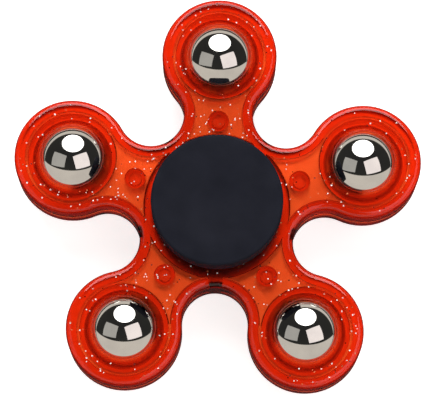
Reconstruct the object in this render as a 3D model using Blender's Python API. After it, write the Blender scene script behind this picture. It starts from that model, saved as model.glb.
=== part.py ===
"""A five-lobed fidget spinner: two clamped half shells hold five steel weight balls and one ball bearing.

Lengths are metres. The bearing's axis is Z, and one lobe points along +Y. Two finger caps plug into the
bearing's inner ring from either side, and the shells turn round them.
"""

import math

import bmesh
import bpy
from mathutils import Matrix

MM = 0.001

# Plan of the body: lobes joined by round notches that run tangent into them.
LOBE_COUNT = 5
LOBE_STEP = 2.0 * math.pi / LOBE_COUNT
FIRST_LOBE = 0.5 * math.pi
LOBE_CENTRE = 30.5 * MM
LOBE_RADIUS = 11.45 * MM
NOTCH_CENTRE = 22.86 * MM
NOTCH_RADIUS = 6.56 * MM
LOBE_SEGMENTS = 16
NOTCH_SEGMENTS = 10

# Section of each half shell.
SHELL_HALF = 5.3 * MM
PARTING_GAP = 0.05 * MM
EDGE_ROUND = 1.2 * MM
EDGE_STEPS = 3
RIM_WALL = 2.1 * MM
SKIN = 1.3 * MM
HUB_BOSS = 14.4 * MM
BALL_BOSS = 8.75 * MM
POCKET_STEPS = 6

# Pins that line the halves up.
POST_CENTRE = 17.2 * MM
POST_RADIUS = 2.1 * MM
SOCKET_RADIUS = 1.3 * MM
SOCKET_DEPTH = 3.0 * MM
PIN_RADIUS = 1.12 * MM
PIN_LENGTH = 2.5 * MM
POST_SEGMENTS = 10

# Weight balls and their seats.
WEIGHT_RADIUS = 7.8 * MM
SEAT_RADIUS = 7.95 * MM
SEAT_MOUTH = 6.1 * MM
SEAT_FLARE = 6.35 * MM
MOUTH_HEIGHT = 5.0 * MM
WEIGHT_SEGMENTS = 20
WEIGHT_RINGS = 12

# Bearing, 22 mm outside, 8 mm bore and 7 mm wide.
RING_HALF = 3.5 * MM
OUTER_RADIUS = 11.0 * MM
OUTER_SHOULDER = 8.9 * MM
SHIELD_SEAT = 9.6 * MM
SHIELD_SEAT_FLOOR = 2.7 * MM
INNER_SHOULDER = 6.1 * MM
BORE_RADIUS = 4.0 * MM
RING_CHAMFER = 0.3 * MM
PITCH_RADIUS = 7.5 * MM
ROLLER_COUNT = 7
ROLLER_STEP = 2.0 * math.pi / ROLLER_COUNT
ROLLER_RADIUS = 1.98 * MM
GROOVE_RADIUS = 2.1 * MM
GROOVE_STEPS = 4
OUTER_SEGMENTS = 32
INNER_SEGMENTS = 24
ROLLER_SEGMENTS = 10
ROLLER_RINGS = 6
BEARING_BORE = 11.15 * MM
BEARING_STOP = 3.65 * MM
STOP_RADIUS = 10.3 * MM

# Ribbon cage, its rivets and the shields.
CAGE_INSIDE = 6.6 * MM
CAGE_OUTSIDE = 8.4 * MM
CAGE_THICK = 0.3 * MM
CAGE_GAP = 0.05 * MM
CAGE_CLEAR = 0.15 * MM
CAGE_STEPS = 8
RIVET_HOLE = 0.45 * MM
RIVET_SHANK = 0.36 * MM
RIVET_HEAD = 0.68 * MM
RIVET_HEAD_THICK = 0.22 * MM
RIVET_SEGMENTS = 6
SHIELD_INSIDE = 6.4 * MM
SHIELD_OUTSIDE = 9.48 * MM
SHIELD_LOW = 2.9 * MM
SHIELD_HIGH = 3.15 * MM

# Finger caps.
CAP_TOP = 12.0 * MM
CAP_UNDER = 6.3 * MM
CAP_RADIUS = 13.0 * MM
CAP_WALL = 1.8 * MM
CAP_ROOF = 2.2 * MM
CAP_EDGE = 0.5 * MM
CAP_FLAT = 9.6 * MM
CAP_DISH = 0.4 * MM
STEM_RADIUS = 5.4 * MM
STUB_RADIUS = 3.85 * MM
STUB_END = 0.3 * MM
CAP_SEGMENTS = 36

FACE_ANGLE = math.radians(35.0)


def clear_scene():
    """Leaves no object in the scene."""
    for found in list(bpy.data.objects):
        bpy.data.objects.remove(found, do_unlink=True)


def finish(name, colour, roughness, metallic):
    """A plain surface for one kind of piece."""
    made = bpy.data.materials.new(name)
    made.use_nodes = True
    shader = made.node_tree.nodes["Principled BSDF"]
    shader.inputs["Base Color"].default_value = (*colour, 1.0)
    shader.inputs["Roughness"].default_value = roughness
    shader.inputs["Metallic"].default_value = metallic
    made.diffuse_color = (*colour, 1.0)
    return made


def add_piece(name, mesh_data, material=None, hidden=False):
    """Puts a bmesh in the scene as one object, its faces turned outwards."""
    bmesh.ops.recalc_face_normals(mesh_data, faces=mesh_data.faces)
    mesh = bpy.data.meshes.new(name)
    mesh_data.to_mesh(mesh)
    mesh_data.free()
    mesh.shade_smooth()
    mesh.set_sharp_from_angle(angle=FACE_ANGLE)
    made = bpy.data.objects.new(name, mesh)
    bpy.context.scene.collection.objects.link(made)
    if material is not None:
        mesh.materials.append(material)
    if hidden:
        made.hide_render = True
        made.display_type = "WIRE"
    return made


def polar(radius, angle, centre=(0.0, 0.0)):
    """The point at this radius and angle from a centre."""
    return (centre[0] + radius * math.cos(angle), centre[1] + radius * math.sin(angle))


def arc(centre, radius, start, end, steps):
    """Points along an arc, with its last point left out."""
    return [polar(radius, start + (end - start) * i / steps, centre) for i in range(steps)]


def lobe_angles():
    """The directions of the lobes."""
    return [FIRST_LOBE + k * LOBE_STEP for k in range(LOBE_COUNT)]


def plan_outline(inset):
    """The body's outline in plan, moved inwards by inset."""
    across = NOTCH_CENTRE * math.sin(0.5 * LOBE_STEP)
    along = NOTCH_CENTRE * math.cos(0.5 * LOBE_STEP) - LOBE_CENTRE
    swing = math.atan2(across, along)
    opening = math.pi - swing + 0.5 * LOBE_STEP
    points = []
    for angle in lobe_angles():
        lobe = polar(LOBE_CENTRE, angle)
        points += arc(lobe, LOBE_RADIUS - inset, angle - swing, angle + swing, LOBE_SEGMENTS)
        middle = angle + 0.5 * LOBE_STEP
        notch = polar(NOTCH_CENTRE, middle)
        start = middle - opening
        end = middle + opening - 2.0 * math.pi
        points += arc(notch, NOTCH_RADIUS + inset, start, end, NOTCH_SEGMENTS)
    return points


def loft(mesh_data, sections):
    """Joins equal loops of points in order and closes both ends."""
    loops = [[mesh_data.verts.new(point) for point in section] for section in sections]
    count = len(loops[0])
    for low, high in zip(loops, loops[1:]):
        for i in range(count):
            j = (i + 1) % count
            mesh_data.faces.new((low[i], low[j], high[j], high[i]))
    mesh_data.faces.new(list(reversed(loops[0])))
    mesh_data.faces.new(loops[-1])


def revolve(mesh_data, profile, segments, centre=(0.0, 0.0), turn=0.0):
    """Turns a closed outline of (radius, height) points round a vertical axis."""
    rings = []
    for radius, height in profile:
        if radius == 0.0:
            pole = mesh_data.verts.new((centre[0], centre[1], height))
            rings.append([pole] * segments)
            continue
        spots = [polar(radius, turn + 2.0 * math.pi * i / segments, centre) for i in range(segments)]
        rings.append([mesh_data.verts.new((x, y, height)) for x, y in spots])
    for low, high in zip(rings, rings[1:] + rings[:1]):
        for i in range(segments):
            j = (i + 1) % segments
            corners = list(dict.fromkeys((low[i], low[j], high[j], high[i])))
            if len(corners) > 2:
                mesh_data.faces.new(corners)


def ball_profile(radius, rings, height=0.0):
    """Half a circle from the lower pole to the upper one."""
    heights = [-math.cos(math.pi * i / rings) for i in range(rings + 1)]
    points = [(radius * math.sqrt(max(0.0, 1.0 - h * h)), height + radius * h) for h in heights]
    points[0] = (0.0, height - radius)
    points[-1] = (0.0, height + radius)
    return points


def cut(target, cutter, name, operation="DIFFERENCE"):
    """Takes a cutter away from a piece, or adds it, and leaves the cutter hidden."""
    change = target.modifiers.new(name, "BOOLEAN")
    change.operation = operation
    change.solver = "EXACT"
    change.object = cutter


def cylinder_profile(radius, low, high):
    """A solid cylinder's half section."""
    return [(0.0, low), (radius, low), (radius, high), (0.0, high)]


def shell_solid(name, material):
    """The outer form of the upper half: straight at the parting face and rounded into the flat face."""
    sections = [(0.0, PARTING_GAP)]
    straight = SHELL_HALF - EDGE_ROUND
    for i in range(EDGE_STEPS + 1):
        angle = 0.5 * math.pi * i / EDGE_STEPS
        sections.append((EDGE_ROUND * (1.0 - math.cos(angle)), straight + EDGE_ROUND * math.sin(angle)))
    made = bmesh.new()
    loft(made, [[(x, y, height) for x, y in plan_outline(inset)] for inset, height in sections])
    return add_piece(name, made, material)


def pocket_outline(angle):
    """One arm's hollow in plan: hub boss, both rim walls and the ball's boss."""
    across = NOTCH_CENTRE * math.sin(0.5 * LOBE_STEP)
    along = NOTCH_CENTRE * math.cos(0.5 * LOBE_STEP)
    wall = NOTCH_RADIUS + RIM_WALL
    reach = math.hypot(across, along)
    crossing = (reach ** 2 + wall ** 2 - HUB_BOSS ** 2) / (2.0 * reach * wall)
    hub_side = math.pi + math.atan2(across, along) + math.acos(crossing)
    lobe_side = math.atan2(-across, LOBE_CENTRE - along) + 2.0 * math.pi
    upper = arc((along, across), wall, hub_side, lobe_side, POCKET_STEPS)
    upper.append(polar(wall, lobe_side, (along, across)))
    turn = math.atan2(across, along - LOBE_CENTRE)
    boss = arc((LOBE_CENTRE, 0.0), BALL_BOSS, turn, 2.0 * math.pi - turn, POCKET_STEPS)
    boss.append(polar(BALL_BOSS, -turn, (LOBE_CENTRE, 0.0)))
    lower = [(x, -y) for x, y in reversed(upper)]
    last = math.atan2(upper[0][1], upper[0][0])
    hub = arc((0.0, 0.0), HUB_BOSS, -last, last, POCKET_STEPS)[1:]
    points = upper + boss + lower + hub
    cos, sin = math.cos(angle), math.sin(angle)
    return [(x * cos - y * sin, x * sin + y * cos) for x, y in points]


def hollow_cutter(name):
    """Everything taken out of a half shell: arm hollows, ball seats and the bearing's bore."""
    made = bmesh.new()
    for angle in lobe_angles():
        plan = pocket_outline(angle)
        loft(made, [[(x, y, height) for x, y in plan] for height in (-MM, SHELL_HALF - SKIN)])
    return add_piece(name, made, hidden=True)


def seat_cutter(name):
    """The five ball seats: part of a sphere that ends in a flared mouth."""
    over = SHELL_HALF + MM
    spread = SEAT_FLARE + (SEAT_FLARE - SEAT_MOUTH) * MM / (SHELL_HALF - MOUTH_HEIGHT)
    made = bmesh.new()
    low_half = [point for point in ball_profile(SEAT_RADIUS, WEIGHT_RINGS) if point[1] < MOUTH_HEIGHT]
    profile = low_half + [(SEAT_MOUTH, MOUTH_HEIGHT), (spread, over), (0.0, over)]
    for angle in lobe_angles():
        revolve(made, profile, WEIGHT_SEGMENTS, polar(LOBE_CENTRE, angle), angle)
    return add_piece(name, made, hidden=True)


def bore_cutter(name):
    """The bearing's bore, stepped in near the face so that the halves clamp the outer ring."""
    over = SHELL_HALF + MM
    lead = 0.4 * MM
    profile = [
        (0.0, -MM),
        (BEARING_BORE, -MM),
        (BEARING_BORE, BEARING_STOP),
        (STOP_RADIUS, BEARING_STOP),
        (STOP_RADIUS, SHELL_HALF - lead),
        (STOP_RADIUS + lead + MM, over),
        (0.0, over),
    ]
    made = bmesh.new()
    revolve(made, profile, OUTER_SEGMENTS)
    return add_piece(name, made, hidden=True)


def post_form(name, pins):
    """Five posts in the hollows, with a blind socket in each or a pin on each."""
    made = bmesh.new()
    root = SHELL_HALF - 0.5 * SKIN
    if pins:
        profile = [
            (0.0, root),
            (0.0, -PIN_LENGTH),
            (PIN_RADIUS, -PIN_LENGTH),
            (PIN_RADIUS, PARTING_GAP),
            (POST_RADIUS, PARTING_GAP),
            (POST_RADIUS, root),
        ]
    else:
        profile = [
            (0.0, root),
            (0.0, SOCKET_DEPTH),
            (SOCKET_RADIUS, SOCKET_DEPTH),
            (SOCKET_RADIUS, PARTING_GAP),
            (POST_RADIUS, PARTING_GAP),
            (POST_RADIUS, root),
        ]
    for angle in lobe_angles():
        revolve(made, profile, POST_SEGMENTS, polar(POST_CENTRE, angle), angle)
    return add_piece(name, made, hidden=True)


def bake(target):
    """Keeps the result of a piece's modifiers as its own mesh."""
    graph = bpy.context.evaluated_depsgraph_get()
    result = bpy.data.meshes.new_from_object(target.evaluated_get(graph))
    target.modifiers.clear()
    target.data = result
    result.shade_smooth()
    result.set_sharp_from_angle(angle=FACE_ANGLE)


def drop(cutters):
    """Removes helpers that have done their work."""
    for cutter in cutters:
        bpy.data.objects.remove(cutter, do_unlink=True)


def half_shell(name, material, pins, flipped):
    """One half of the body. The lower one is turned over about X, so its lobes stay in line."""
    body = shell_solid(name, material)
    tools = [hollow_cutter("hollow_tool"), seat_cutter("seat_tool"), bore_cutter("bore_tool")]
    for tool in tools:
        cut(body, tool, tool.name)
    bake(body)
    posts = post_form("post_tool", pins)
    cut(body, posts, "posts", "UNION")
    bake(body)
    drop(tools + [posts])
    if flipped:
        body.data.transform(Matrix.Scale(-1.0, 4, (0.0, 0.0, 1.0)))
        body.data.flip_normals()
    return body


def weight_balls(material):
    """The five steel balls that load the rim."""
    for k, angle in enumerate(lobe_angles(), start=1):
        made = bmesh.new()
        profile = ball_profile(WEIGHT_RADIUS, WEIGHT_RINGS)
        revolve(made, profile, WEIGHT_SEGMENTS, polar(LOBE_CENTRE, angle), angle)
        add_piece(f"weight_ball_{k}", made, material)


def groove(side):
    """The raceway's arc, from its upper shoulder down to the lower one. side is 1 for the outer ring."""
    depth = (OUTER_SHOULDER - PITCH_RADIUS) if side > 0 else (PITCH_RADIUS - INNER_SHOULDER)
    half = math.acos(depth / GROOVE_RADIUS)
    angles = [half - 2.0 * half * i / GROOVE_STEPS for i in range(GROOVE_STEPS + 1)]
    return [(PITCH_RADIUS + side * GROOVE_RADIUS * math.cos(a), GROOVE_RADIUS * math.sin(a)) for a in angles]


def outer_ring(material):
    """The bearing's outer ring, with a raceway inside and a seat for a shield at each face."""
    upper = [
        (OUTER_RADIUS, RING_HALF - RING_CHAMFER),
        (OUTER_RADIUS - RING_CHAMFER, RING_HALF),
        (SHIELD_SEAT, RING_HALF),
        (SHIELD_SEAT, SHIELD_SEAT_FLOOR),
        (OUTER_SHOULDER, SHIELD_SEAT_FLOOR),
    ]
    lower = [(radius, -height) for radius, height in reversed(upper)]
    made = bmesh.new()
    revolve(made, upper + groove(1) + lower, OUTER_SEGMENTS)
    add_piece("outer_ring", made, material)


def inner_ring(material):
    """The bearing's inner ring, with a raceway outside."""
    upper = [
        (BORE_RADIUS, RING_HALF - RING_CHAMFER),
        (BORE_RADIUS + RING_CHAMFER, RING_HALF),
        (INNER_SHOULDER - RING_CHAMFER, RING_HALF),
        (INNER_SHOULDER, RING_HALF - RING_CHAMFER),
    ]
    lower = [(radius, -height) for radius, height in reversed(upper)]
    made = bmesh.new()
    revolve(made, upper + groove(-1) + lower, INNER_SEGMENTS)
    add_piece("inner_ring", made, material)


def bearing_balls(material):
    """The balls that run between the rings. Each object's origin is its own ball's centre."""
    for k in range(ROLLER_COUNT):
        made = bmesh.new()
        revolve(made, ball_profile(ROLLER_RADIUS, ROLLER_RINGS), ROLLER_SEGMENTS)
        piece = add_piece(f"bearing_ball_{k + 1}", made, material)
        x, y = polar(PITCH_RADIUS, k * ROLLER_STEP)
        piece.location = (x, y, 0.0)


def ribbon_height(run):
    """Height of the ribbon's inner face at a distance along the pitch circle from a ball's centre."""
    clear = ROLLER_RADIUS + CAGE_CLEAR
    if abs(run) >= clear:
        return CAGE_GAP
    return max(CAGE_GAP, math.sqrt(clear ** 2 - run ** 2))


def ribbon_stations():
    """Angles round the cage, close together where the ribbon arches over a ball, with their heights."""
    clear = ROLLER_RADIUS + CAGE_CLEAR
    stations = []
    for k in range(ROLLER_COUNT):
        centre = k * ROLLER_STEP
        for i in range(CAGE_STEPS + 1):
            lean = math.pi * (i / CAGE_STEPS - 0.5)
            run = 1.04 * clear * math.sin(lean)
            stations.append((centre + run / PITCH_RADIUS, ribbon_height(run)))
    return stations


def cage_half(name, material, side):
    """One half of the ribbon cage, drilled for the rivets."""
    made = bmesh.new()
    columns = []
    for angle, height in ribbon_stations():
        top = height + CAGE_THICK
        section = (
            (CAGE_INSIDE, height),
            (CAGE_OUTSIDE, height),
            (CAGE_OUTSIDE, top),
            (CAGE_INSIDE, top),
        )
        columns.append([made.verts.new((*polar(radius, angle), side * level)) for radius, level in section])
    for here, ahead in zip(columns, columns[1:] + columns[:1]):
        for i in range(4):
            j = (i + 1) % 4
            made.faces.new((here[i], here[j], ahead[j], ahead[i]))
    ribbon = add_piece(name, made, material)
    drills = bmesh.new()
    for k in range(ROLLER_COUNT):
        spot = polar(PITCH_RADIUS, (k + 0.5) * ROLLER_STEP)
        revolve(drills, cylinder_profile(RIVET_HOLE, -MM, MM), RIVET_SEGMENTS, spot)
    drill = add_piece("rivet_drill", drills, hidden=True)
    cut(ribbon, drill, "rivet_holes")
    bake(ribbon)
    drop([drill])


def rivets(material):
    """The rivets that hold the cage's halves together between the balls."""
    seat = CAGE_GAP + CAGE_THICK + 0.03 * MM
    top = seat + RIVET_HEAD_THICK
    for k in range(ROLLER_COUNT):
        spot = polar(PITCH_RADIUS, (k + 0.5) * ROLLER_STEP)
        profile = [
            (0.0, -top),
            (0.6 * RIVET_HEAD, -top),
            (RIVET_HEAD, -seat),
            (RIVET_SHANK, -seat),
            (RIVET_SHANK, seat),
            (RIVET_HEAD, seat),
            (0.6 * RIVET_HEAD, top),
            (0.0, top),
        ]
        made = bmesh.new()
        revolve(made, profile, RIVET_SEGMENTS, spot)
        add_piece(f"cage_rivet_{k + 1}", made, material)


def shield(name, material, side):
    """A thin washer that closes the bearing at one face."""
    profile = [
        (SHIELD_INSIDE, side * SHIELD_LOW),
        (SHIELD_OUTSIDE, side * SHIELD_LOW),
        (SHIELD_OUTSIDE, side * SHIELD_HIGH),
        (SHIELD_INSIDE, side * SHIELD_HIGH),
    ]
    made = bmesh.new()
    revolve(made, profile, OUTER_SEGMENTS)
    add_piece(name, made, material)


def finger_cap(name, material, side):
    """A cap that is cored out underneath, with a dished face, a stem to the inner ring and a stub in the bore."""
    roof = CAP_TOP - CAP_ROOF
    inside = CAP_RADIUS - CAP_WALL
    half = [
        (0.0, STUB_END),
        (STUB_RADIUS - 0.3 * MM, STUB_END),
        (STUB_RADIUS, STUB_END + 0.3 * MM),
        (STUB_RADIUS, RING_HALF + 0.05 * MM),
        (STEM_RADIUS, RING_HALF + 0.05 * MM),
        (STEM_RADIUS, roof),
        (inside, roof),
        (inside, CAP_UNDER),
        (CAP_RADIUS - 0.3 * MM, CAP_UNDER),
        (CAP_RADIUS, CAP_UNDER + 0.3 * MM),
        (CAP_RADIUS, CAP_TOP - CAP_EDGE),
        (CAP_RADIUS - 0.3 * CAP_EDGE, CAP_TOP - 0.3 * CAP_EDGE),
        (CAP_RADIUS - CAP_EDGE, CAP_TOP),
        (CAP_FLAT, CAP_TOP),
        (0.6 * CAP_FLAT, CAP_TOP - 0.65 * CAP_DISH),
        (0.0, CAP_TOP - CAP_DISH),
    ]
    made = bmesh.new()
    revolve(made, [(radius, side * height) for radius, height in half], CAP_SEGMENTS)
    add_piece(name, made, material)


def main():
    """Builds every piece in its place."""
    clear_scene()
    plastic = finish("clear_red_plastic", (0.80, 0.07, 0.02), 0.15, 0.0)
    steel = finish("polished_steel", (0.62, 0.62, 0.63), 0.08, 1.0)
    ground = finish("ground_steel", (0.50, 0.50, 0.52), 0.28, 1.0)
    tin = finish("tinned_steel", (0.58, 0.57, 0.54), 0.35, 1.0)
    black = finish("black_plastic", (0.016, 0.017, 0.024), 0.55, 0.0)
    half_shell("upper_shell", plastic, pins=False, flipped=False)
    half_shell("lower_shell", plastic, pins=True, flipped=True)
    weight_balls(steel)
    outer_ring(ground)
    inner_ring(ground)
    bearing_balls(steel)
    cage_half("cage_upper", tin, 1.0)
    cage_half("cage_lower", tin, -1.0)
    rivets(tin)
    shield("front_shield", tin, 1.0)
    shield("rear_shield", tin, -1.0)
    finger_cap("front_cap", black, 1.0)
    finger_cap("rear_cap", black, -1.0)


main()
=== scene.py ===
"""Looks of a five-lobed fidget spinner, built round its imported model.

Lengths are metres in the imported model's frame: the bearing turns about Z, one lobe points along +Y, and the
spinner lies on its back finger cap. Every new piece is a surface worked out with numpy, and the two clear
halves of the body are such surfaces cut from one another. The bearing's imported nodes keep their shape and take
new finishes.
"""

import logging
import math
from dataclasses import dataclass
from enum import Enum
from typing import Any

import bpy
import numpy as np
from mathutils import Matrix, Vector


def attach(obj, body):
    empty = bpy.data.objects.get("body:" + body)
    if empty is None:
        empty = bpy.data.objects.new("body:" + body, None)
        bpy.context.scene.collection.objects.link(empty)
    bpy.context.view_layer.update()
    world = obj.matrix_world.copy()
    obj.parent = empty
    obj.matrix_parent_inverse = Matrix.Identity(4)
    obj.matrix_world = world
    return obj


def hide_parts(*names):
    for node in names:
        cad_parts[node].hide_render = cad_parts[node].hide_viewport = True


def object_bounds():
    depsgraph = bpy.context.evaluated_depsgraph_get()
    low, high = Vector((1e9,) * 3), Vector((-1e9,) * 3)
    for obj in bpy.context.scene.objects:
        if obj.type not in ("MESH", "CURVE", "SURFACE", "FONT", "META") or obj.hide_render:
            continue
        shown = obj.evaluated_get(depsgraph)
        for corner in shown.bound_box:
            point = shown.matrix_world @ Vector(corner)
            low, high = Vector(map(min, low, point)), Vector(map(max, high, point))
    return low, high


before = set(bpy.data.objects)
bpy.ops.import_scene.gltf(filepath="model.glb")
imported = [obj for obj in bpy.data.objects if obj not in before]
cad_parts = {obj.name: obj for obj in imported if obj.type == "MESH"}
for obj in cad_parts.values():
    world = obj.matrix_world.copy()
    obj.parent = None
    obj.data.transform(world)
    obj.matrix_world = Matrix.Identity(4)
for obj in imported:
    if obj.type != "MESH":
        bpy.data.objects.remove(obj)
CAD_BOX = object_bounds()

LOG = logging.getLogger("spinner")

MM = 0.001
FULL_TURN = 2.0 * math.pi
QUARTER_TURN = 0.5 * math.pi
# Points nearer than this are one point.
WELD = 1e-7
# Faces that meet at more than this keep a sharp edge.
FACE_ANGLE = math.radians(32.0)
# A face whose normal rises by less than this is part of the side wall.
WALL_SLOPE = 0.45
# Attributes that the meshes hold for their finishes.
GLITTER_TONE = "flake_tone"
INNER_FACE = "inner_face"
# One on the side wall's faces, which the finish paints a deeper red as shade.
PAINTED_SHADE_WALL = "painted_shade_wall"
# The inputs that set a range node's two ranges.
RANGE_ENDS = ("From Min", "From Max", "To Min", "To Max")

Object = bpy.types.Object
Material = bpy.types.Material
Faces = list[tuple[int, ...]]


class Side(Enum):
    """Which face of the spinner a piece belongs to."""

    UPPER = 1
    LOWER = -1


class LampFront(Enum):
    """The outline of a lamp's front."""

    ROUND = "ELLIPSE"
    SQUARE = "RECTANGLE"


class Body(Enum):
    """The bodies that the new pieces ride on."""

    HELD = "grip"
    TURNING = "rotor"


# --- Colour and node helpers ---


def linear(hex_colour: str) -> tuple[float, float, float, float]:
    """Turns an sRGB colour into linear light: a straight line near black, and a power of 2.4 above it.

    Args:
        hex_colour: Six hex digits after a hash sign.

    Returns:
        Red, green, blue and an alpha of one.
    """
    digits = hex_colour.lstrip("#")
    shares = np.array([int(digits[i : i + 2], 16) for i in (0, 2, 4)]) / 255.0
    light = np.where(shares <= 0.04045, shares / 12.92, ((shares + 0.055) / 1.055) ** 2.4)
    return (float(light[0]), float(light[1]), float(light[2]), 1.0)


def add_node(
    tree: Any,
    kind: str,
    values: dict | None = None,
    links: dict | None = None,
    stops: list[tuple[float, str]] | None = None,
    **settings: Any,
) -> Any:
    """Adds one node to a tree.

    Args:
        tree: The node tree that takes it.
        kind: Blender's name for the node, without its Shader part.
        values: Input name or number to the value that it holds.
        links: Input name or number to what feeds it: an output socket, or a node for its first output.
        stops: Rising places along the node's colour band, from nought to one, with their sRGB colours.
        settings: Properties of the node itself.

    Returns:
        The node.
    """
    node = tree.nodes.new("ShaderNode" + kind)
    for name, value in settings.items():
        setattr(node, name, value)
    for name, value in (values or {}).items():
        node.inputs[name].default_value = value
    for name, source in (links or {}).items():
        socket = source if isinstance(source, bpy.types.NodeSocket) else source.outputs[0]
        tree.links.new(socket, node.inputs[name])
    if stops:
        band = node.color_ramp.elements
        while len(band) < len(stops):
            band.new(0.5)
        for element, (place, colour) in zip(band, stops):
            element.position = place
            element.color = linear(colour)
    return node


def new_tree(name: str) -> tuple[Material, Any]:
    """Starts a material and empties its node tree.

    Args:
        name: The material's name.

    Returns:
        The material and its node tree.
    """
    made = bpy.data.materials.new(name)
    made.use_nodes = True
    made.node_tree.nodes.clear()
    return made, made.node_tree


# --- Finishes ---


@dataclass(frozen=True)
class ClearPlastic:
    """Injection-moulded transparent polycarbonate, dyed orange-red, from a mould polished only on its outside.

    The eye gets a glassy skin with the faint waviness that moulding leaves, and satin faces inside that spread
    the light evenly. It is orange where the light crosses thin walls; the deep red along the side wall is
    painted shade.
    """

    name: str = "clear_red_polycarbonate"
    tint: str = "#FCA674"
    streak: str = "#F99D6C"
    streak_size: float = 9.0 * MM
    streak_range: tuple[float, float] = (0.35, 0.65)
    # Painted shade: the deeper red that the side wall takes in place of the plain tint.
    painted_wall_shade: str = "#A82A12"
    dye: str = "#F8B262"
    dye_per_metre: float = 320.0
    ior: float = 1.49
    roughness_low: float = 0.02
    roughness_high: float = 0.07
    satin: float = 0.26
    smear_size: float = 5.0 * MM
    smear_range: tuple[float, float] = (0.35, 0.7)
    wave_size: float = 7.0 * MM
    wave_height: float = 0.05 * MM

    def build(self) -> Material:
        """Makes the material: glass over a plain absorbing volume, with smears, dye streaks and moulding waves.
        The numbers that mark_faces leaves in the mesh pick the satin inner faces and the side wall, on which a
        deeper red is painted as shade.
        """
        made, tree = new_tree(self.name)
        place = add_node(tree, "TexCoord").outputs["Object"]
        smears = add_node(tree, "TexNoise", {"Scale": 1.0 / self.smear_size, "Detail": 3.0}, {"Vector": place})
        ends = (*self.smear_range, self.roughness_low, self.roughness_high)
        rough = add_node(tree, "MapRange", dict(zip(RANGE_ENDS, ends)), {"Value": smears})
        inner = add_node(tree, "Attribute", attribute_name=INNER_FACE)
        parts = {0: inner.outputs["Fac"], 2: rough}
        satin = add_node(tree, "Math", {1: self.satin}, parts, operation="MULTIPLY_ADD")
        waves = add_node(tree, "TexNoise", {"Scale": 1.0 / self.wave_size, "Detail": 1.0}, {"Vector": place})
        bump = add_node(tree, "Bump", {"Strength": 0.3, "Distance": self.wave_height}, {"Height": waves})
        values = {"Scale": 1.0 / self.streak_size, "Detail": 2.0}
        streaks = add_node(tree, "TexNoise", values, {"Vector": place})
        stops = list(zip(self.streak_range, (self.streak, self.tint)))
        shade = add_node(tree, "ValToRGB", links={"Fac": streaks}, stops=stops)
        # Painted shade: faces marked as side wall take the deeper red instead of the streaked tint.
        wall = add_node(tree, "Attribute", attribute_name=PAINTED_SHADE_WALL)
        parts = {"Fac": wall.outputs["Fac"], "Color1": shade}
        colour = add_node(tree, "MixRGB", {"Color2": linear(self.painted_wall_shade)}, parts)
        shader = add_node(
            tree,
            "BsdfPrincipled",
            {"IOR": self.ior, "Transmission Weight": 1.0},
            {"Base Color": colour, "Roughness": satin, "Normal": bump},
        )
        dye = add_node(tree, "VolumeAbsorption", {"Color": linear(self.dye), "Density": self.dye_per_metre})
        add_node(tree, "OutputMaterial", links={"Surface": shader, "Volume": dye})
        return made


@dataclass(frozen=True)
class Metal:
    """A bare metal with fine random scratches and a breath of tarnish.

    The eye gets mirror-like or satin reflections whose sharpness changes a little from place to place.
    """

    name: str
    bright: str
    dull: str
    roughness_low: float
    roughness_high: float
    patch_size: float = 3.0 * MM
    scratch_size: float = 0.5 * MM
    scratch_height: float = 0.0005 * MM
    scratch_heading: float = 0.6
    patch_range: tuple[float, float] = (0.35, 0.6)
    gloss_range: tuple[float, float] = (0.3, 0.7)

    def build(self) -> Material:
        """Makes the material: patchy colour and roughness, with scratches stretched along one direction."""
        made, tree = new_tree(self.name)
        place = add_node(tree, "TexCoord").outputs["Object"]
        patches = add_node(tree, "TexNoise", {"Scale": 1.0 / self.patch_size, "Detail": 4.0}, {"Vector": place})
        stops = list(zip(self.patch_range, (self.dull, self.bright)))
        shade = add_node(tree, "ValToRGB", links={"Fac": patches}, stops=stops)
        ends = (*self.gloss_range, self.roughness_low, self.roughness_high)
        rough = add_node(tree, "MapRange", dict(zip(RANGE_ENDS, ends)), {"Value": patches})
        values = {"Scale": (0.25, 1.0, 1.0), "Rotation": (0.0, 0.0, self.scratch_heading)}
        stretch = add_node(tree, "Mapping", values, {"Vector": place})
        values = {"Scale": 1.0 / self.scratch_size, "Detail": 5.0}
        scratches = add_node(tree, "TexNoise", values, {"Vector": stretch})
        values = {"Strength": 0.25, "Distance": self.scratch_height}
        bump = add_node(tree, "Bump", values, {"Height": scratches})
        looks = {"Base Color": shade, "Roughness": rough, "Normal": bump}
        shader = add_node(tree, "BsdfPrincipled", {"Metallic": 1.0}, looks)
        add_node(tree, "OutputMaterial", links={"Surface": shader})
        return made


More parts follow.
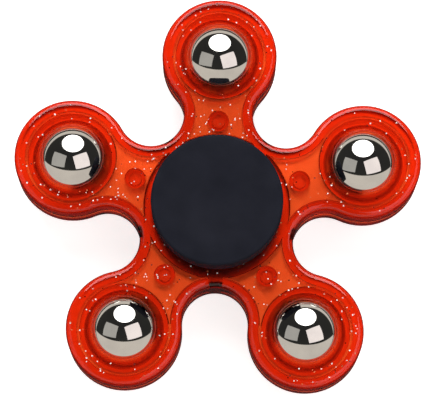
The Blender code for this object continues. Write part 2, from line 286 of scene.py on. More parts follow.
@dataclass(frozen=True)
class MattBlackPlastic:
    """Moulded ABS, dyed blue-black, from a spark-eroded mould.

    The eye gets an even, nearly shineless navy-black with a very fine grain, rubbed a little paler in patches.
    """

    name: str = "matt_black_abs"
    deep: str = "#181A24"
    rubbed: str = "#1C1E29"
    ior: float = 1.2
    roughness_low: float = 0.55
    roughness_high: float = 0.7
    grain_size: float = 0.35 * MM
    grain_height: float = 0.012 * MM
    rub_size: float = 6.0 * MM
    rub_range: tuple[float, float] = (0.35, 0.7)
    gloss_range: tuple[float, float] = (0.3, 0.7)

    def build(self) -> Material:
        """Makes the material: rubbed patches in colour and gloss over an eroded grain."""
        made, tree = new_tree(self.name)
        place = add_node(tree, "TexCoord").outputs["Object"]
        rubs = add_node(tree, "TexNoise", {"Scale": 1.0 / self.rub_size, "Detail": 5.0}, {"Vector": place})
        stops = list(zip(self.rub_range, (self.deep, self.rubbed)))
        shade = add_node(tree, "ValToRGB", links={"Fac": rubs}, stops=stops)
        ends = (*self.gloss_range, self.roughness_high, self.roughness_low)
        rough = add_node(tree, "MapRange", dict(zip(RANGE_ENDS, ends)), {"Value": rubs})
        grain = add_node(tree, "TexNoise", {"Scale": 1.0 / self.grain_size, "Detail": 3.0}, {"Vector": place})
        bump = add_node(tree, "Bump", {"Strength": 0.5, "Distance": self.grain_height}, {"Height": grain})
        looks = {"Base Color": shade, "Roughness": rough, "Normal": bump}
        shader = add_node(tree, "BsdfPrincipled", {"IOR": self.ior}, looks)
        add_node(tree, "OutputMaterial", links={"Surface": shader})
        return made


@dataclass(frozen=True)
class GlitterFoil:
    """Cut flakes of aluminised polyester film.

    The eye gets bright white or pinkish points, and a share of the flakes is painted dark red as shade, standing
    in for flakes that face away from the light.
    """

    name: str = "aluminised_film"
    silver: str = "#FFFFFF"
    rose: str = "#FFD9D2"
    # Painted shade: the dark red for flakes that stand in for ones facing away from the light.
    dark: str = "#5A1A14"
    roughness: float = 0.45
    painted_shade_share: float = 0.2
    rose_from: float = 0.24
    silver_from: float = 0.7
    metallic: float = 0.35

    def build(self) -> Material:
        """Makes the material: each flake's own tone, held in the mesh, picks its colour; the lowest tones take a
        painted shade of dark red.
        """
        made, tree = new_tree(self.name)
        tone = add_node(tree, "Attribute", attribute_name=GLITTER_TONE)
        # Flakes whose tone falls below the shaded share are painted dark red as shade.
        stops = [
            (0.0, self.dark),
            (self.painted_shade_share, self.dark),
            (self.rose_from, self.rose),
            (self.silver_from, self.silver),
        ]
        shade = add_node(tree, "ValToRGB", links={"Fac": tone.outputs["Fac"]}, stops=stops)
        values = {"Metallic": self.metallic, "Roughness": self.roughness}
        shader = add_node(tree, "BsdfPrincipled", values, {"Base Color": shade})
        add_node(tree, "OutputMaterial", links={"Surface": shader})
        return made


@dataclass(frozen=True)
class OpalTable:
    """A sheet of cast opal acrylic, satin on top and lit from beneath.

    The eye gets an even glowing white with the least trace of mottling, in which shadows nearly vanish.
    """

    name: str = "opal_acrylic"
    pale: str = "#F7F7F6"
    mottle: str = "#F2F2F1"
    mottle_size: float = 2.0 * MM
    mottle_range: tuple[float, float] = (0.3, 0.7)
    glow: float = 0.74
    glow_colour: str = "#FFFFFF"
    roughness: float = 0.9
    ior: float = 1.2

    def build(self) -> Material:
        """Makes the material: two near-whites mixed by a fine noise, over an even glow."""
        made, tree = new_tree(self.name)
        place = add_node(tree, "TexCoord").outputs["Object"]
        mottles = add_node(tree, "TexNoise", {"Scale": 1.0 / self.mottle_size}, {"Vector": place})
        stops = list(zip(self.mottle_range, (self.mottle, self.pale)))
        shade = add_node(tree, "ValToRGB", links={"Fac": mottles}, stops=stops)
        values = {"Roughness": self.roughness, "IOR": self.ior, "Emission Strength": self.glow}
        values["Emission Color"] = linear(self.glow_colour)
        shader = add_node(tree, "BsdfPrincipled", values, {"Base Color": shade})
        add_node(tree, "OutputMaterial", links={"Surface": shader})
        return made


CHROME_STEEL = Metal("polished_chrome_steel", "#D8D5CF", "#CFCCC7", 0.025, 0.06, 4.0 * MM)
GROUND_STEEL = Metal("ground_bearing_steel", "#B9B9BC", "#A3A3A8", 0.18, 0.32, 1.5 * MM, 0.25 * MM, 0.001 * MM)
PRESSED_STEEL = Metal("pressed_tinned_steel", "#C2C0B8", "#A9A79E", 0.25, 0.42, 1.2 * MM, 0.3 * MM, 0.001 * MM)


# --- Mesh helpers ---


def polar(radius: Any, angle: Any, centre: tuple[float, float] = (0.0, 0.0)) -> np.ndarray:
    """Points at radii and angles about a centre: centre plus radius times cosine and sine.

    Args:
        radius: One radius or an array of them.
        angle: One angle or an array of them, in radians.
        centre: The centre in plan.

    Returns:
        The points, with x and y on the last axis.
    """
    return np.stack([centre[0] + radius * np.cos(angle), centre[1] + radius * np.sin(angle)], axis=-1)


def sweep(start: float, end: float, steps: int, closed: bool = False) -> np.ndarray:
    """Even steps from start towards end.

    Args:
        start: The first value.
        end: The value after the last step.
        steps: How many steps there are.
        closed: Whether the end value is kept too.

    Returns:
        The values.
    """
    return start + (end - start) * np.arange(steps + int(closed)) / steps


def grid_faces(rows: int, columns: int, wrap_rows: bool, wrap_columns: bool) -> np.ndarray:
    """Four-cornered faces between neighbouring points of a grid.

    Args:
        rows: Points along the first parameter.
        columns: Points along the second parameter.
        wrap_rows: Whether the last row joins the first.
        wrap_columns: Whether the last column joins the first.

    Returns:
        One row of four point numbers for each face.
    """
    row = np.arange(rows if wrap_rows else rows - 1)[:, None]
    column = np.arange(columns if wrap_columns else columns - 1)[None, :]
    next_row, next_column = (row + 1) % rows, (column + 1) % columns
    corners = (
        row * columns + column,
        row * columns + next_column,
        next_row * columns + next_column,
        next_row * columns + column,
    )
    return np.stack(corners, axis=-1).reshape(-1, 4)


def weld(points: np.ndarray, faces: np.ndarray) -> tuple[np.ndarray, Faces]:
    """Makes points that coincide one point, so that seams and poles are closed.

    Args:
        points: The points, one to a row.
        faces: Four point numbers to a row.

    Returns:
        The points that are left, and faces of three or four corners.
    """
    _, first, index = np.unique(
        np.round(points / WELD).astype(np.int64), axis=0, return_index=True, return_inverse=True
    )
    faces = index.reshape(-1)[faces]
    same = faces == np.roll(faces, -1, axis=1)
    whole = faces[~same.any(axis=1)]
    pinched = faces[same.sum(axis=1) == 1]
    where = same[same.sum(axis=1) == 1].argmax(axis=1)
    keep = (where[:, None] + np.arange(1, 4)[None, :]) % 4
    triangles = np.take_along_axis(pinched, keep, axis=1)
    return points[first], [*map(tuple, whole.tolist()), *map(tuple, triangles.tolist())]


def add_mesh(name: str, points: np.ndarray, faces: Faces, material: Material) -> Object:
    """Puts a closed surface in the scene as one object at the origin, facing outwards and smooth-shaded.

    Args:
        name: The object's name.
        points: Its points.
        faces: Its faces, all wound the same way.
        material: Its finish.

    Returns:
        The object.
    """
    mesh = bpy.data.meshes.new(name)
    mesh.from_pydata(points.tolist(), [], faces)
    mesh.calc_loop_triangles()
    corners = np.empty(len(mesh.loop_triangles) * 3, np.int32)
    mesh.loop_triangles.foreach_get("vertices", corners)
    triangles = points[corners.reshape(-1, 3)]
    if np.linalg.det(triangles).sum() < 0.0:
        mesh.flip_normals()
    smooth(mesh)
    mesh.materials.append(material)
    made = bpy.data.objects.new(name, mesh)
    bpy.context.scene.collection.objects.link(made)
    return made


def smooth(mesh: Any) -> None:
    """Shades a mesh smooth, and keeps an edge sharp where its faces turn by more than FACE_ANGLE."""
    mesh.shade_smooth()
    mesh.set_sharp_from_angle(angle=FACE_ANGLE)


def loft(name: str, plans: list[np.ndarray], heights: list[float], material: Material) -> Object:
    """A closed body through plan outlines at rising heights: point (i, k) is plan i's point k at height i.

    Args:
        name: The object's name.
        plans: Outlines with the same number of points.
        heights: The height of each outline.
        material: Its finish.

    Returns:
        The object.
    """
    layers = [np.column_stack([plan, np.full(len(plan), height)]) for plan, height in zip(plans, heights)]
    count = len(plans[0])
    points = np.concatenate(layers)
    sides = grid_faces(len(plans), count, False, True)
    top = (len(plans) - 1) * count
    lids = [tuple(range(count))[::-1], tuple(range(top, top + count))]
    return add_mesh(name, points, [*map(tuple, sides.tolist()), *lids], material)


def lathe_points(
    profile: np.ndarray, segments: int, centre: tuple[float, float], turn: float, closed: bool
) -> tuple[np.ndarray, Faces]:
    """A profile of radius r and height z carried round a vertical axis: r cos a, r sin a, z over a full turn.

    Args:
        profile: Radius and height, one point to a row.
        segments: Steps round the axis.
        centre: Where the axis stands in plan.
        turn: The angle of the first step.
        closed: Whether the profile's last point joins its first.

    Returns:
        Points and faces, with seams and poles closed.
    """
    angles = sweep(turn, turn + FULL_TURN, segments)
    plan = polar(profile[:, :1], angles[None, :], centre)
    heights = np.broadcast_to(profile[:, 1:], plan.shape[:2])
    points = np.dstack([plan, heights]).reshape(-1, 3)
    return weld(points, grid_faces(len(profile), segments, closed, True))


def lathe(
    name: str,
    profile: np.ndarray,
    segments: int,
    material: Material,
    centre: tuple[float, float] = (0.0, 0.0),
    turn: float = 0.0,
) -> Object:
    """One turned piece from a profile that starts and ends on its axis, as lathe_points describes it."""
    points, faces = lathe_points(profile, segments, centre, turn, False)
    return add_mesh(name, points, faces, material)


def corner_arc(centre: tuple[float, float], radius: float, start: float, steps: int) -> np.ndarray:
    """A section's quarter round with both ends: centre plus radius times cosine and sine of even angles."""
    return polar(radius, np.radians(sweep(start, start + 90.0, steps, closed=True)), centre)


def on_circle(reach: float, angle: float) -> tuple[float, float]:
    """The point in plan at this distance and in this direction from the spinner's axis."""
    return (reach * math.cos(angle), reach * math.sin(angle))


def stand(made: Object, spot: Vector, axes: tuple[Vector, Vector, Vector]) -> None:
    """Puts an object in the scene at a spot, with its own X, Y and Z along three directions."""
    made.matrix_world = Matrix.Translation(spot) @ Matrix(axes).transposed().to_4x4()
    bpy.context.scene.collection.objects.link(made)


def join(name: str, parts: list[tuple[np.ndarray, Faces]], material: Material) -> Object:
    """Several separate closed surfaces as one object.

    Args:
        name: The object's name.
        parts: Points and faces of each.
        material: Its finish.

    Returns:
        The object.
    """
    starts = np.cumsum([0] + [len(points) for points, _ in parts])
    faces = [tuple(c + int(at) for c in face) for at, (_, found) in zip(starts, parts) for face in found]
    return add_mesh(name, np.concatenate([points for points, _ in parts]), faces, material)


def carve(target: Object, tools: list[Object], operation: str = "DIFFERENCE") -> None:
    """Cuts tools out of a piece, or joins them to it, and removes them.

    Args:
        target: The piece that changes.
        tools: The pieces that are used up.
        operation: Blender's name for the Boolean.
    """
    for tool in tools:
        change = target.modifiers.new(tool.name, "BOOLEAN")
        change.operation = operation
        change.solver = "MANIFOLD"
        change.material_mode = "TRANSFER"
        change.object = tool
    graph = bpy.context.evaluated_depsgraph_get()
    result = bpy.data.meshes.new_from_object(target.evaluated_get(graph))
    target.modifiers.clear()
    target.data = result
    smooth(result)
    for tool in tools:
        bpy.data.objects.remove(tool, do_unlink=True)


def mark_faces(piece: Object, finish: Material, parting: float) -> None:
    """Leaves two numbers in each face and one finish on the piece, since light has to enter and leave it through
    one material. INNER_FACE is one on cut faces and the parting face, and the side-wall number is one on the
    side wall, which the finish paints a deeper red as shade.

    Args:
        piece: The piece, whose cut faces have a material number above nought.
        finish: The finish that all its faces take.
        parting: The height that the parting face stays below.
    """
    mesh = piece.data
    numbers = np.empty(len(mesh.polygons), np.int32)
    mesh.polygons.foreach_get("material_index", numbers)
    middles, normals = np.empty((2, len(mesh.polygons) * 3), np.float32)
    mesh.polygons.foreach_get("center", middles)
    mesh.polygons.foreach_get("normal", normals)
    inner = (numbers > 0) | (middles[2::3] < parting)
    # Side-wall faces: the finish paints them a deeper red as shade.
    wall = ~inner & (np.abs(normals[2::3]) < WALL_SLOPE)
    for name, chosen in ((INNER_FACE, inner), (PAINTED_SHADE_WALL, wall)):
        held = mesh.attributes.new(name, "FLOAT", "FACE")
        held.data.foreach_set("value", chosen.astype(np.float32))
    mesh.polygons.foreach_set("material_index", np.zeros_like(numbers))
    mesh.materials.clear()
    mesh.materials.append(finish)


def turn_over(piece: Object) -> None:
    """Mirrors a finished piece through the parting plane and keeps its faces outwards."""
    piece.data.transform(Matrix.Scale(-1.0, 4, (0.0, 0.0, 1.0)))
    piece.data.flip_normals()


def keep_flats_flat(piece: Object) -> None:
    """Lets each large flat face rule the shading at its rim."""
    change = piece.modifiers.new("flat_faces", "WEIGHTED_NORMAL")
    change.keep_sharp = True
    change.weight = 100


def settle(piece: Object, body: Body, slot: str, *nodes: str) -> None:
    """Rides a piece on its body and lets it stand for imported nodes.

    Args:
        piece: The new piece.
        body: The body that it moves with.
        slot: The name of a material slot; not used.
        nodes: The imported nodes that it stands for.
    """
    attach(piece, body.value)
    if nodes:
        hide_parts(*nodes)
    LOG.info("%s: %d faces, rides on %s", piece.name, len(piece.data.polygons), body.value)


# --- The spinner ---


@dataclass
class Plan:
    """The body's plan: lobes joined by round notches that run tangent into them."""

    lobe_count: int = 5
    first_lobe: float = QUARTER_TURN
    lobe_centre: float = 30.5 * MM
    lobe_radius: float = 11.45 * MM
    notch_centre: float = 22.86 * MM
    notch_radius: float = 6.56 * MM
    lobe_segments: int = 56
    notch_segments: int = 34

    @property
    def step(self) -> float:
        """The angle from one lobe to the next."""
        return FULL_TURN / self.lobe_count

    @property
    def lobe_angles(self) -> list[float]:
        """The directions of the lobes."""
        return [self.first_lobe + k * self.step for k in range(self.lobe_count)]

    @property
    def swing(self) -> float:
        """The angle at a lobe's centre from its outward direction to where its arc meets a notch's."""
        across = self.notch_centre * math.sin(0.5 * self.step)
        along = self.notch_centre * math.cos(0.5 * self.step) - self.lobe_centre
        return math.atan2(across, along)

    def lobe_spot(self, angle: float) -> tuple[float, float]:
        """The centre of the lobe in this direction."""
        return on_circle(self.lobe_centre, angle)

    def outline(self, inset: float) -> np.ndarray:
        """The outline moved inwards: lobe arcs of radius less the inset, notch arcs of radius plus the inset.

        Args:
            inset: How far inwards.

        Returns:
            The outline's points.
        """
        swing = self.swing
        opening = math.pi - swing + 0.5 * self.step
        pieces = []
        for angle in self.lobe_angles:
            round_lobe = sweep(angle - swing, angle + swing, self.lobe_segments)
            pieces.append(polar(self.lobe_radius - inset, round_lobe, self.lobe_spot(angle)))
            middle = angle + 0.5 * self.step
            round_notch = sweep(middle - opening, middle + opening - FULL_TURN, self.notch_segments)
            notch = on_circle(self.notch_centre, middle)
            pieces.append(polar(self.notch_radius + inset, round_notch, notch))
        return np.concatenate(pieces)


@dataclass
class ClearShells:
    """The two clamped halves of the body, hollow in the arms, with ball seats, alignment posts and the bore."""

    plan: Plan
    half_thickness: float = 5.3 * MM
    parting_gap: float = 0.05 * MM
    parting_chamfer: float = 0.12 * MM
    edge_round: float = 1.2 * MM
    edge_steps: int = 12
    rim_wall: float = 2.1 * MM
    skin: float = 1.3 * MM
    roof_fillet: float = 0.25 * MM
    hub_boss: float = 14.4 * MM
    ball_boss: float = 8.75 * MM
    post_centre: float = 17.2 * MM
    post_radius: float = 2.1 * MM
    socket_radius: float = 1.3 * MM
    socket_depth: float = 3.0 * MM
    pin_radius: float = 1.12 * MM
    pin_length: float = 2.5 * MM
    seat_radius: float = 7.95 * MM
    seat_mouth: float = 6.1 * MM
    seat_flare: float = 6.35 * MM
    mouth_height: float = 5.0 * MM
    bearing_bore: float = 11.15 * MM
    bearing_stop: float = 3.65 * MM
    stop_radius: float = 10.3 * MM
    stop_lead: float = 0.4 * MM
    overshoot: float = 1.0 * MM
    channel_clear: float = 0.05 * MM
    channel_roof: float = 3.6 * MM
    # A small turn keeps the channels' edges off the hollows' edges.
    channel_turn: float = 0.01
    pocket_steps: int = 14
    roof_steps: int = 4
    bowl_steps: int = 30
    seat_segments: int = 72
    channel_segments: int = 96
    bore_segments: int = 120
    post_segments: int = 40

    @property
    def marker(self) -> Material:
        """The finish that marks what a cutter leaves."""
        return bpy.data.materials.get("inner_marker") or bpy.data.materials.new("inner_marker")

    def outer_form(self, name: str, finish: Material) -> Object:
        """The solid upper half: chamfered at the parting face, straight, then a quarter round into the face."""
        turn = sweep(0.0, QUARTER_TURN, self.edge_steps, closed=True)
        straight = self.half_thickness - self.edge_round
        insets = [self.parting_chamfer, 0.0, *(self.edge_round * (1.0 - np.cos(turn)))]
        heights = [
            self.parting_gap,
            self.parting_gap + self.parting_chamfer,
            *(straight + self.edge_round * np.sin(turn)),
        ]
        return loft(name, [self.plan.outline(float(d)) for d in insets], heights, finish)

    def pocket(self, angle: float, inset: float) -> np.ndarray:
        """One arm's hollow in plan: arcs round the hub boss, the two rim walls and the ball boss, each moved by
        the inset. The hub's arc meets the walls' where their circles cross.

        Args:
            angle: The arm's direction.
            inset: How far the hollow's outline is moved inwards.

        Returns:
            The outline's points.
        """
        plan, steps = self.plan, self.pocket_steps
        across = plan.notch_centre * math.sin(0.5 * plan.step)
        along = plan.notch_centre * math.cos(0.5 * plan.step)
        wall = plan.notch_radius + self.rim_wall + inset
        boss, hub = self.ball_boss + inset, self.hub_boss + inset
        reach = math.hypot(across, along)
        crossing = (reach**2 + wall**2 - hub**2) / (2.0 * reach * wall)
        hub_side = math.pi + math.atan2(across, along) + math.acos(crossing)
        lobe_side = math.atan2(-across, plan.lobe_centre - along) + FULL_TURN
        upper = polar(wall, sweep(hub_side, lobe_side, steps, closed=True), (along, across))
        swing = math.atan2(across, along - plan.lobe_centre)
        round_boss = sweep(swing, FULL_TURN - swing, 2 * steps, closed=True)
        ball = polar(boss, round_boss, (plan.lobe_centre, 0.0))
        lower = upper[::-1] * (1.0, -1.0)
        last = math.atan2(upper[0, 1], upper[0, 0])
        round_hub = polar(hub, sweep(-last, last, 2 * steps))[1:]
        points = np.concatenate([upper, ball, lower, round_hub])
        cos, sin = math.cos(angle), math.sin(angle)
        return points @ np.array([[cos, sin], [-sin, cos]])

    def hollows(self) -> list[Object]:
        """The five arm hollows, each with a small round between its wall and its roof."""
        turn = sweep(0.0, QUARTER_TURN, self.roof_steps, closed=True)
        roof = self.half_thickness - self.skin
        insets = [0.0, *(self.roof_fillet * (1.0 - np.cos(turn)))]
        heights = [-self.overshoot, *(roof - self.roof_fillet + self.roof_fillet * np.sin(turn))]
        return [
            loft(f"hollow_{k}", [self.pocket(angle, float(d)) for d in insets], heights, self.marker)
            for k, angle in enumerate(self.plan.lobe_angles)
        ]

    def at_arms(
        self,
        name: str,
        reach: float,
        profile: np.ndarray,
        segments: int,
        turn: float = 0.0,
        closed: bool = False,
    ) -> Object:
        """The same turned form on each arm, as one object.

        Args:
            name: The object's name.
            reach: How far out its axes stand.
            profile: Radius and height, one point to a row.
            segments: Steps round each axis.
            turn: The angle from the arm's direction to the first step.
            closed: Whether the profile's last point joins its first.

        Returns:
            The object.
        """
        angles = self.plan.lobe_angles
        parts = [lathe_points(profile, segments, on_circle(reach, at), at + turn, closed) for at in angles]
        return join(name, parts, self.marker)

    def seats(self) -> Object:
        """The ball seats: a sphere's surface up to the mouth, then a slight flare out to the face."""
        over = self.half_thickness + self.overshoot
        latitude = math.asin(self.mouth_height / self.seat_radius)
        bowl = polar(self.seat_radius, sweep(-QUARTER_TURN, latitude, self.bowl_steps))
        bowl[0, 0] = 0.0
        slope = (self.seat_flare - self.seat_mouth) / (self.half_thickness - self.mouth_height)
        spread = self.seat_flare + slope * self.overshoot
        profile = np.concatenate([bowl, [(self.seat_mouth, self.mouth_height), (spread, over), (0.0, over)]])
        return self.at_arms("ball_seats", self.plan.lobe_centre, profile, self.seat_segments)

    def channels(self) -> Object:
        """A narrow ring-shaped channel round each ball boss, which opens into the arm's hollow."""
        inner, outer = self.ball_boss + self.channel_clear, self.plan.lobe_radius - self.rim_wall
        start, roof = -self.overshoot, self.channel_roof
        profile = np.array([(inner, start), (outer, start), (outer, roof), (inner, roof)])
        steps, reach = self.channel_segments, self.plan.lobe_centre
        return self.at_arms("boss_channels", reach, profile, steps, self.channel_turn, closed=True)

    def bore(self) -> Object:
        """The bearing's bore, stepped in near the face so that the halves clamp the outer ring."""
        over = self.half_thickness + self.overshoot
        profile = np.array(
            [
                (0.0, -self.overshoot),
                (self.bearing_bore, -self.overshoot),
                (self.bearing_bore, self.bearing_stop),
                (self.stop_radius, self.bearing_stop),
                (self.stop_radius, self.half_thickness - self.stop_lead),
                (self.stop_radius + self.stop_lead + self.overshoot, over),
                (0.0, over),
            ]
        )
        return lathe("bearing_bore", profile, self.bore_segments, self.marker)

    def posts(self, pins: bool) -> Object:
        """Five posts in the hollows, each with a pin on its foot or a blind socket in it.

        Args:
            pins: Whether this half has the pins.

        Returns:
            The posts as one object.
        """
        root = self.half_thickness - 0.5 * self.skin
        if pins:
            core, end = self.pin_radius, -self.pin_length
        else:
            core, end = self.socket_radius, self.socket_depth
        foot, side = self.parting_gap, self.post_radius
        profile = np.array([(0.0, end), (core, end), (core, foot), (side, foot), (side, root), (0.0, root)])
        return self.at_arms("posts", self.post_centre, profile, self.post_segments)

    def half(self, name: str, side: Side, finish: Material, node: str) -> None:
        """One half of the body, dressed and settled. The lower one has the pins.

        Args:
            name: The piece's name.
            side: The face that it belongs to.
            finish: Its finish.
            node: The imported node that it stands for.
        """
        piece = self.outer_form(name, finish)
        carve(piece, [*self.hollows(), self.channels(), self.seats(), self.bore()])
        carve(piece, [self.posts(side is Side.LOWER)], "UNION")
        mark_faces(piece, finish, self.parting_gap + 0.5 * self.parting_chamfer)
        if side is Side.LOWER:
            turn_over(piece)
        keep_flats_flat(piece)
        settle(piece, Body.TURNING, "clear_red_plastic", node)

    def build(self) -> None:
        """Both halves."""
        finish = ClearPlastic().build()
        self.half("clear_upper_half", Side.UPPER, finish, "upper_shell")
        self.half("clear_lower_half", Side.LOWER, finish, "lower_shell")
        bpy.data.materials.remove(self.marker)


@dataclass
class WeightBalls:
    """The five polished balls that load the rim."""

    plan: Plan
    radius: float = 7.8 * MM
    rings: int = 48
    segments: int = 96

    def build(self) -> None:
        """Each ball as a half circle carried round a vertical axis."""
        finish = CHROME_STEEL.build()
        profile = polar(self.radius, sweep(-QUARTER_TURN, QUARTER_TURN, self.rings, closed=True))
        profile[[0, -1], 0] = 0.0
        for k, angle in enumerate(self.plan.lobe_angles, start=1):
            spot = self.plan.lobe_spot(angle)
            piece = lathe(f"polished_ball_{k}", profile, self.segments, finish, spot, angle)
            settle(piece, Body.TURNING, "polished_steel", f"weight_ball_{k}")


@dataclass
class FingerCaps:
    """The two caps that the fingers hold, each with a dished face, a cored underside, a stem and a stub."""

    top: float = 12.0 * MM
    under: float = 6.3 * MM
    radius: float = 13.0 * MM
    wall: float = 1.8 * MM
    roof: float = 2.2 * MM
    edge: float = 0.5 * MM
    flat: float = 9.6 * MM
    dish: float = 0.4 * MM
    stem: float = 5.4 * MM
    stub: float = 3.85 * MM
    stub_end: float = 0.3 * MM
    stub_chamfer: float = 0.3 * MM
    ring_face: float = 3.55 * MM
    lip: float = 0.25 * MM
    lip_steps: int = 4
    edge_steps: int = 8
    dish_steps: int = 14
    segments: int = 144

    def profile(self) -> np.ndarray:
        """Half the section, from the stub's end out under the cap and over its face to the axis. The dish's
        depth is half its full depth times one plus the cosine of pi times the share of its radius.
        """
        ceiling = self.top - self.roof
        inside = self.radius - self.wall
        share = sweep(1.0, 0.0, self.dish_steps, closed=True)
        hollow = self.dish * 0.5 * (1.0 + np.cos(math.pi * share))
        dish = np.column_stack([self.flat * share, self.top - hollow])
        dish[-1, 0] = 0.0
        inner = [
            (0.0, self.stub_end),
            (self.stub - self.stub_chamfer, self.stub_end),
            (self.stub, self.stub_end + self.stub_chamfer),
            (self.stub, self.ring_face),
            (self.stem, self.ring_face),
            (self.stem, ceiling),
            (inside, ceiling),
        ]
        foot = self.under + self.lip
        return np.concatenate(
            [
                inner,
                corner_arc((inside + self.lip, foot), self.lip, 180.0, self.lip_steps),
                corner_arc((self.radius - self.lip, foot), self.lip, 270.0, self.lip_steps),
                corner_arc((self.radius - self.edge, self.top - self.edge), self.edge, 0.0, self.edge_steps),
                dish,
            ]
        )

    def build(self) -> None:
        """Both caps, the back one mirrored."""
        finish = MattBlackPlastic().build()
        for name, side, node in (
            ("finger_cap_front", Side.UPPER, "front_cap"),
            ("finger_cap_back", Side.LOWER, "rear_cap"),
        ):
            piece = lathe(name, self.profile(), self.segments, finish)
            if side is Side.LOWER:
                turn_over(piece)
            settle(piece, Body.HELD, "black_plastic", node)


@dataclass
class Glitter:
    """Six-sided flakes of foil scattered in the clear skin, flat to within a small tilt."""

    plan: Plan
    shells: ClearShells
    per_face: int = 520
    smallest: float = 0.20 * MM
    largest: float = 0.36 * MM
    thickness: float = 0.03 * MM
    share_at_skin: float = 0.75
    deepest: float = 0.35 * MM
    shallowest: float = 0.03 * MM
    rim_depth: float = 0.12 * MM
    margin: float = 0.75 * MM
    tilt: float = math.radians(7.0)
    seat_clear: float = 7.2 * MM
    hub_clear: float = 11.2 * MM
    rim_drop: float = 0.3 * MM
    steepest: float = 0.5
    tries: int = 12
    corners: int = 6
    seeds: tuple[int, int] = (7, 11)

    def spots(self, draw: np.random.Generator) -> tuple[np.ndarray, np.ndarray]:
        """Random places in plan inside the outline, clear of the ball mouths and the bearing.

        Args:
            draw: The random number source.

        Returns:
            The places, one to a row, and how far each is from the outline: a lobe's radius less the distance
            from its centre, or the distance from a notch's centre less its radius, whichever arc is nearest.
        """
        plan = self.plan
        reach = plan.lobe_centre + plan.lobe_radius
        tried = draw.uniform(-reach, reach, (self.per_face * self.tries, 2))
        hub = np.hypot(tried[:, 0], tried[:, 1])
        lobes = np.array([plan.lobe_spot(angle) for angle in plan.lobe_angles])
        from_lobes = tried[:, None, :] - lobes[None, :, :]
        apart = np.hypot(from_lobes[:, :, 0], from_lobes[:, :, 1])
        closest = apart.argmin(axis=1)
        nearest = apart.min(axis=1)
        outward = (from_lobes[np.arange(len(tried)), closest] * lobes[closest]).sum(axis=1)
        facing = np.arccos(np.clip(outward / (nearest * plan.lobe_centre), -1.0, 1.0))
        notch_angles = np.array(plan.lobe_angles) + 0.5 * plan.step
        notches = polar(plan.notch_centre, notch_angles)
        gap = np.hypot(*(tried[:, None, :] - notches[None, :, :]).transpose(2, 0, 1)).min(axis=1)
        inset = np.where(facing < plan.swing, plan.lobe_radius - nearest, gap - plan.notch_radius)
        inside = (hub < plan.lobe_centre) | (nearest < plan.lobe_radius)
        good = inside & (inset > self.margin) & (nearest > self.seat_clear) & (hub > self.hub_clear)
        return tried[good][: self.per_face], inset[good][: self.per_face]

    def flakes(self, name: str, side: Side, seed: int, finish: Material) -> None:
        """All the flakes of one face: six corners round each centre, above and below, turned and tilted.

        Args:
            name: The piece's name.
            side: The face that holds them.
            seed: The random seed.
            finish: Their finish.
        """
        draw = np.random.default_rng(seed)
        places, inset = self.spots(draw)
        count = len(places)
        size = draw.uniform(self.smallest, self.largest, count) * 0.5
        depth = np.where(
            draw.random(count) < self.share_at_skin,
            -0.5 * self.thickness,
            draw.uniform(self.shallowest, self.deepest, count),
        )
        spin = draw.uniform(0.0, FULL_TURN, count)
        lean = draw.normal(0.0, self.tilt, (count, 2)).clip(-self.steepest, self.steepest)
        # Each flake's tone; the lowest ones are painted dark red as shade.
        tone = draw.random(count)
        angle = spin[:, None] + sweep(0.0, FULL_TURN, self.corners)[None, :]
        flat = polar(size[:, None], angle)
        rise = (flat * np.tan(lean)[:, None, :]).sum(axis=2)
        fall = (self.shells.edge_round - inset).clip(0.0, None)
        rim = self.shells.edge_round - np.sqrt(self.shells.edge_round**2 - fall**2)
        sunk = np.where(fall > self.rim_drop, np.maximum(depth, self.rim_depth), depth)
        centre_height = (self.shells.half_thickness - rim - sunk)[:, None]
        top = np.dstack([flat + places[:, None, :], centre_height + rise])
        bottom = top - (0.0, 0.0, self.thickness)
        points = np.concatenate([top, bottom], axis=1)
        points[:, :, 2] *= side.value
        ring = np.arange(self.corners)
        after = (ring + 1) % self.corners
        base = 2 * self.corners * np.arange(count)
        quad = np.column_stack([ring, ring + self.corners, after + self.corners, after])
        tops = base[:, None] + ring
        bottoms = base[:, None] + 2 * self.corners - 1 - ring
        sides = (base[:, None, None] + quad).reshape(-1, 4)
        faces = [tuple(face) for part in (tops, bottoms, sides) for face in part.tolist()]
        piece = add_mesh(name, points.reshape(-1, 3), faces, finish)
        held = piece.data.attributes.new(GLITTER_TONE, "FLOAT", "POINT")
        held.data.foreach_set("value", np.repeat(tone, 2 * self.corners).astype(np.float32))
        settle(piece, Body.TURNING, "clear_red_plastic")

    def build(self) -> None:
        """The flakes of both faces."""
        finish = GlitterFoil().build()
        self.flakes("glitter_upper", Side.UPPER, self.seeds[0], finish)
        self.flakes("glitter_lower", Side.LOWER, self.seeds[1], finish)


@dataclass
class Bearing:
    """The ball bearing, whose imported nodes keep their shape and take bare-metal finishes."""

    rollers: int = 7

    def build(self) -> None:
        """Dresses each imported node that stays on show."""
        ground, tinned, polished = GROUND_STEEL.build(), PRESSED_STEEL.build(), CHROME_STEEL.build()
        finishes = {"outer_ring": ground, "inner_ring": ground}
        for name in ("cage_upper", "cage_lower", "front_shield", "rear_shield"):
            finishes[name] = tinned
        for k in range(1, self.rollers + 1):
            finishes[f"cage_rivet_{k}"] = tinned
            finishes[f"bearing_ball_{k}"] = polished
        for name, finish in finishes.items():
            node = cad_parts[name]
            node.data.materials.clear()
            node.data.materials.append(finish)
            LOG.info("%s: finished as %s", name, finish.name)


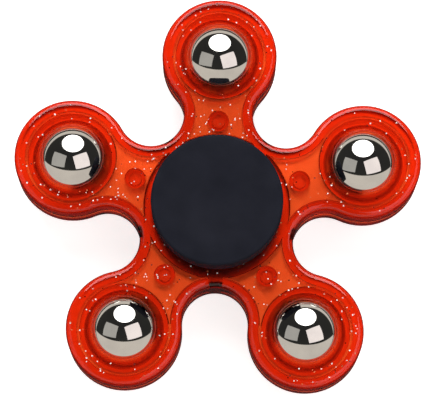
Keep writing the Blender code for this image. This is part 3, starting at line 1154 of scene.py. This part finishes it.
@dataclass(frozen=True)
class Softbox:
    """A lamp with an even front, aimed at the spinner from afar. Its width and height are shares of its
    distance, and its height stands square to the direction called across.
    """

    name: str
    bearing_deg: float
    elevation_deg: float
    width: float
    height: float
    brightness: float
    tint: str
    across: tuple[float, float, float] = (1.0, 0.0, 0.0)
    front: LampFront = LampFront.SQUARE
    distance: float = 1.5

    def build(self) -> None:
        """Makes the lamp. Its power is its brightness times pi times the area of its front."""
        data = bpy.data.lights.new(self.name, "AREA")
        data.shape = self.front.value
        data.size, data.size_y = self.width * self.distance, self.height * self.distance
        share = 0.25 * math.pi if self.front is LampFront.ROUND else 1.0
        data.energy = self.brightness * math.pi * share * data.size * data.size_y
        data.color = linear(self.tint)[:3]
        bearing, rise = math.radians(self.bearing_deg), math.radians(self.elevation_deg)
        way = Vector((math.sin(bearing) * math.cos(rise), math.cos(bearing) * math.cos(rise), math.sin(rise)))
        upright = way.cross(Vector(self.across)).normalized()
        axes = (upright.cross(way), upright, way)
        stand(bpy.data.objects.new(self.name, data), way * self.distance, axes)
        LOG.info("%s: lamp of %.0f W", self.name, data.energy)


@dataclass
class Studio:
    """The floor, the lamps, the room's glow and the camera."""

    floor_height: float
    floor_reach: float = 3.0
    floor_steps: int = 8
    focal_length: float = 249.0
    sensor: float = 36.0
    distance: float = 0.6
    tilt_deg: float = 10.0
    roll_deg: float = 1.0
    aim: tuple[float, float, float] = (0.0, 1.8 * MM, 0.0)
    clip: tuple[float, float] = (0.01, 20.0)
    far_wall: float = 0.2
    near_wall: float = 1.2
    wall_blur: float = 0.02
    glow: float = 1.1

    def floor(self) -> None:
        """A wide light table: a grid of two parameters at one height. Mirror reflections leave it out, or it
        would turn the clear side walls pale.
        """
        count = self.floor_steps + 1
        steps = sweep(-self.floor_reach, self.floor_reach, self.floor_steps, closed=True)
        x, y = np.meshgrid(steps, steps)
        points = np.dstack([x, y, np.full_like(x, self.floor_height)]).reshape(-1, 3)
        mesh = bpy.data.meshes.new("light_table")
        mesh.from_pydata(points.tolist(), [], grid_faces(count, count, False, False).tolist())
        mesh.materials.append(OpalTable().build())
        sheet = bpy.data.objects.new("light_table", mesh)
        sheet.visible_glossy = False
        bpy.context.scene.collection.objects.link(sheet)

    def room(self) -> None:
        """A pale wall on the far side and one on the near side, as high as a share of how far off they are. The
        room is dim above, beside and below them.
        """
        world = bpy.data.worlds.new("studio_room")
        world.use_nodes = True
        bpy.context.scene.world = world
        tree = world.node_tree
        tree.nodes.clear()
        way = add_node(tree, "TexCoord").outputs["Generated"]
        split = add_node(tree, "SeparateXYZ", links={"Vector": way})
        sides = [
            add_node(tree, "Math", {1: height}, {0: split.outputs["Y"]}, operation="MULTIPLY")
            for height in (self.far_wall, -self.near_wall)
        ]
        wall = add_node(tree, "Math", links=dict(enumerate(sides)), operation="MAXIMUM")
        above = add_node(tree, "Math", links={0: split.outputs["Z"], 1: wall}, operation="SUBTRACT")
        below = add_node(tree, "Math", {1: 0.0}, {0: split.outputs["Z"]}, operation="LESS_THAN")
        dark = add_node(tree, "Math", links={0: below, 1: above}, operation="MAXIMUM")
        stops = [(0.0, "#D9D2CA"), (self.wall_blur, "#30302E"), (1.0, "#2B2B2B")]
        glow = add_node(tree, "ValToRGB", links={"Fac": dark}, stops=stops)
        back = add_node(tree, "Background", {"Strength": self.glow}, {"Color": glow})
        add_node(tree, "OutputWorld", links={"Surface": back})

    def lamps(self) -> None:
        """A round key lamp halfway up on the far side, and a panel high on either hand."""
        for lamp in (
            Softbox("key_lamp", 0.0, 45.5, 1.08, 1.08, 3.6, "#FFFFFF", front=LampFront.ROUND),
            Softbox("right_panel", 106.7, 60.2, 0.84, 0.75, 1.25, "#FFF6F6", (0.835, 0.374, -0.403)),
            Softbox("left_panel", -98.3, 48.7, 0.76, 0.65, 0.5, "#FFFDF8", (0.731, -0.330, 0.597)),
        ):
            lamp.build()

    def camera(self) -> None:
        """A long lens tilted off the vertical towards the near side, rolled a little."""
        tilt, roll = math.radians(self.tilt_deg), math.radians(self.roll_deg)
        back = Vector((0.0, -math.sin(tilt), math.cos(tilt)))
        data = bpy.data.cameras.new("camera")
        data.lens, data.sensor_width = self.focal_length, self.sensor
        data.clip_start, data.clip_end = self.clip
        made = bpy.data.objects.new("camera", data)
        right = Vector((math.cos(roll), math.sin(roll) * math.cos(tilt), math.sin(roll) * math.sin(tilt)))
        up = back.cross(right).normalized()
        stand(made, Vector(self.aim) + back * self.distance, (right, up, back))
        bpy.context.scene.camera = made

    def build(self) -> None:
        """Everything round the spinner."""
        self.floor()
        self.room()
        self.lamps()
        self.camera()
        view = bpy.context.scene.view_settings
        view.view_transform = "Standard"
        view.look = "None"


def main() -> None:
    """Builds the spinner's pieces in order, then the studio round it."""
    logging.basicConfig(level=logging.INFO, format="%(name)s: %(message)s")
    plan = Plan()
    shells = ClearShells(plan)
    shells.build()
    WeightBalls(plan).build()
    Bearing().build()
    FingerCaps().build()
    Glitter(plan, shells).build()
    Studio(floor_height=float(CAD_BOX[0].z)).build()


if __name__ == "__main__":
    main()
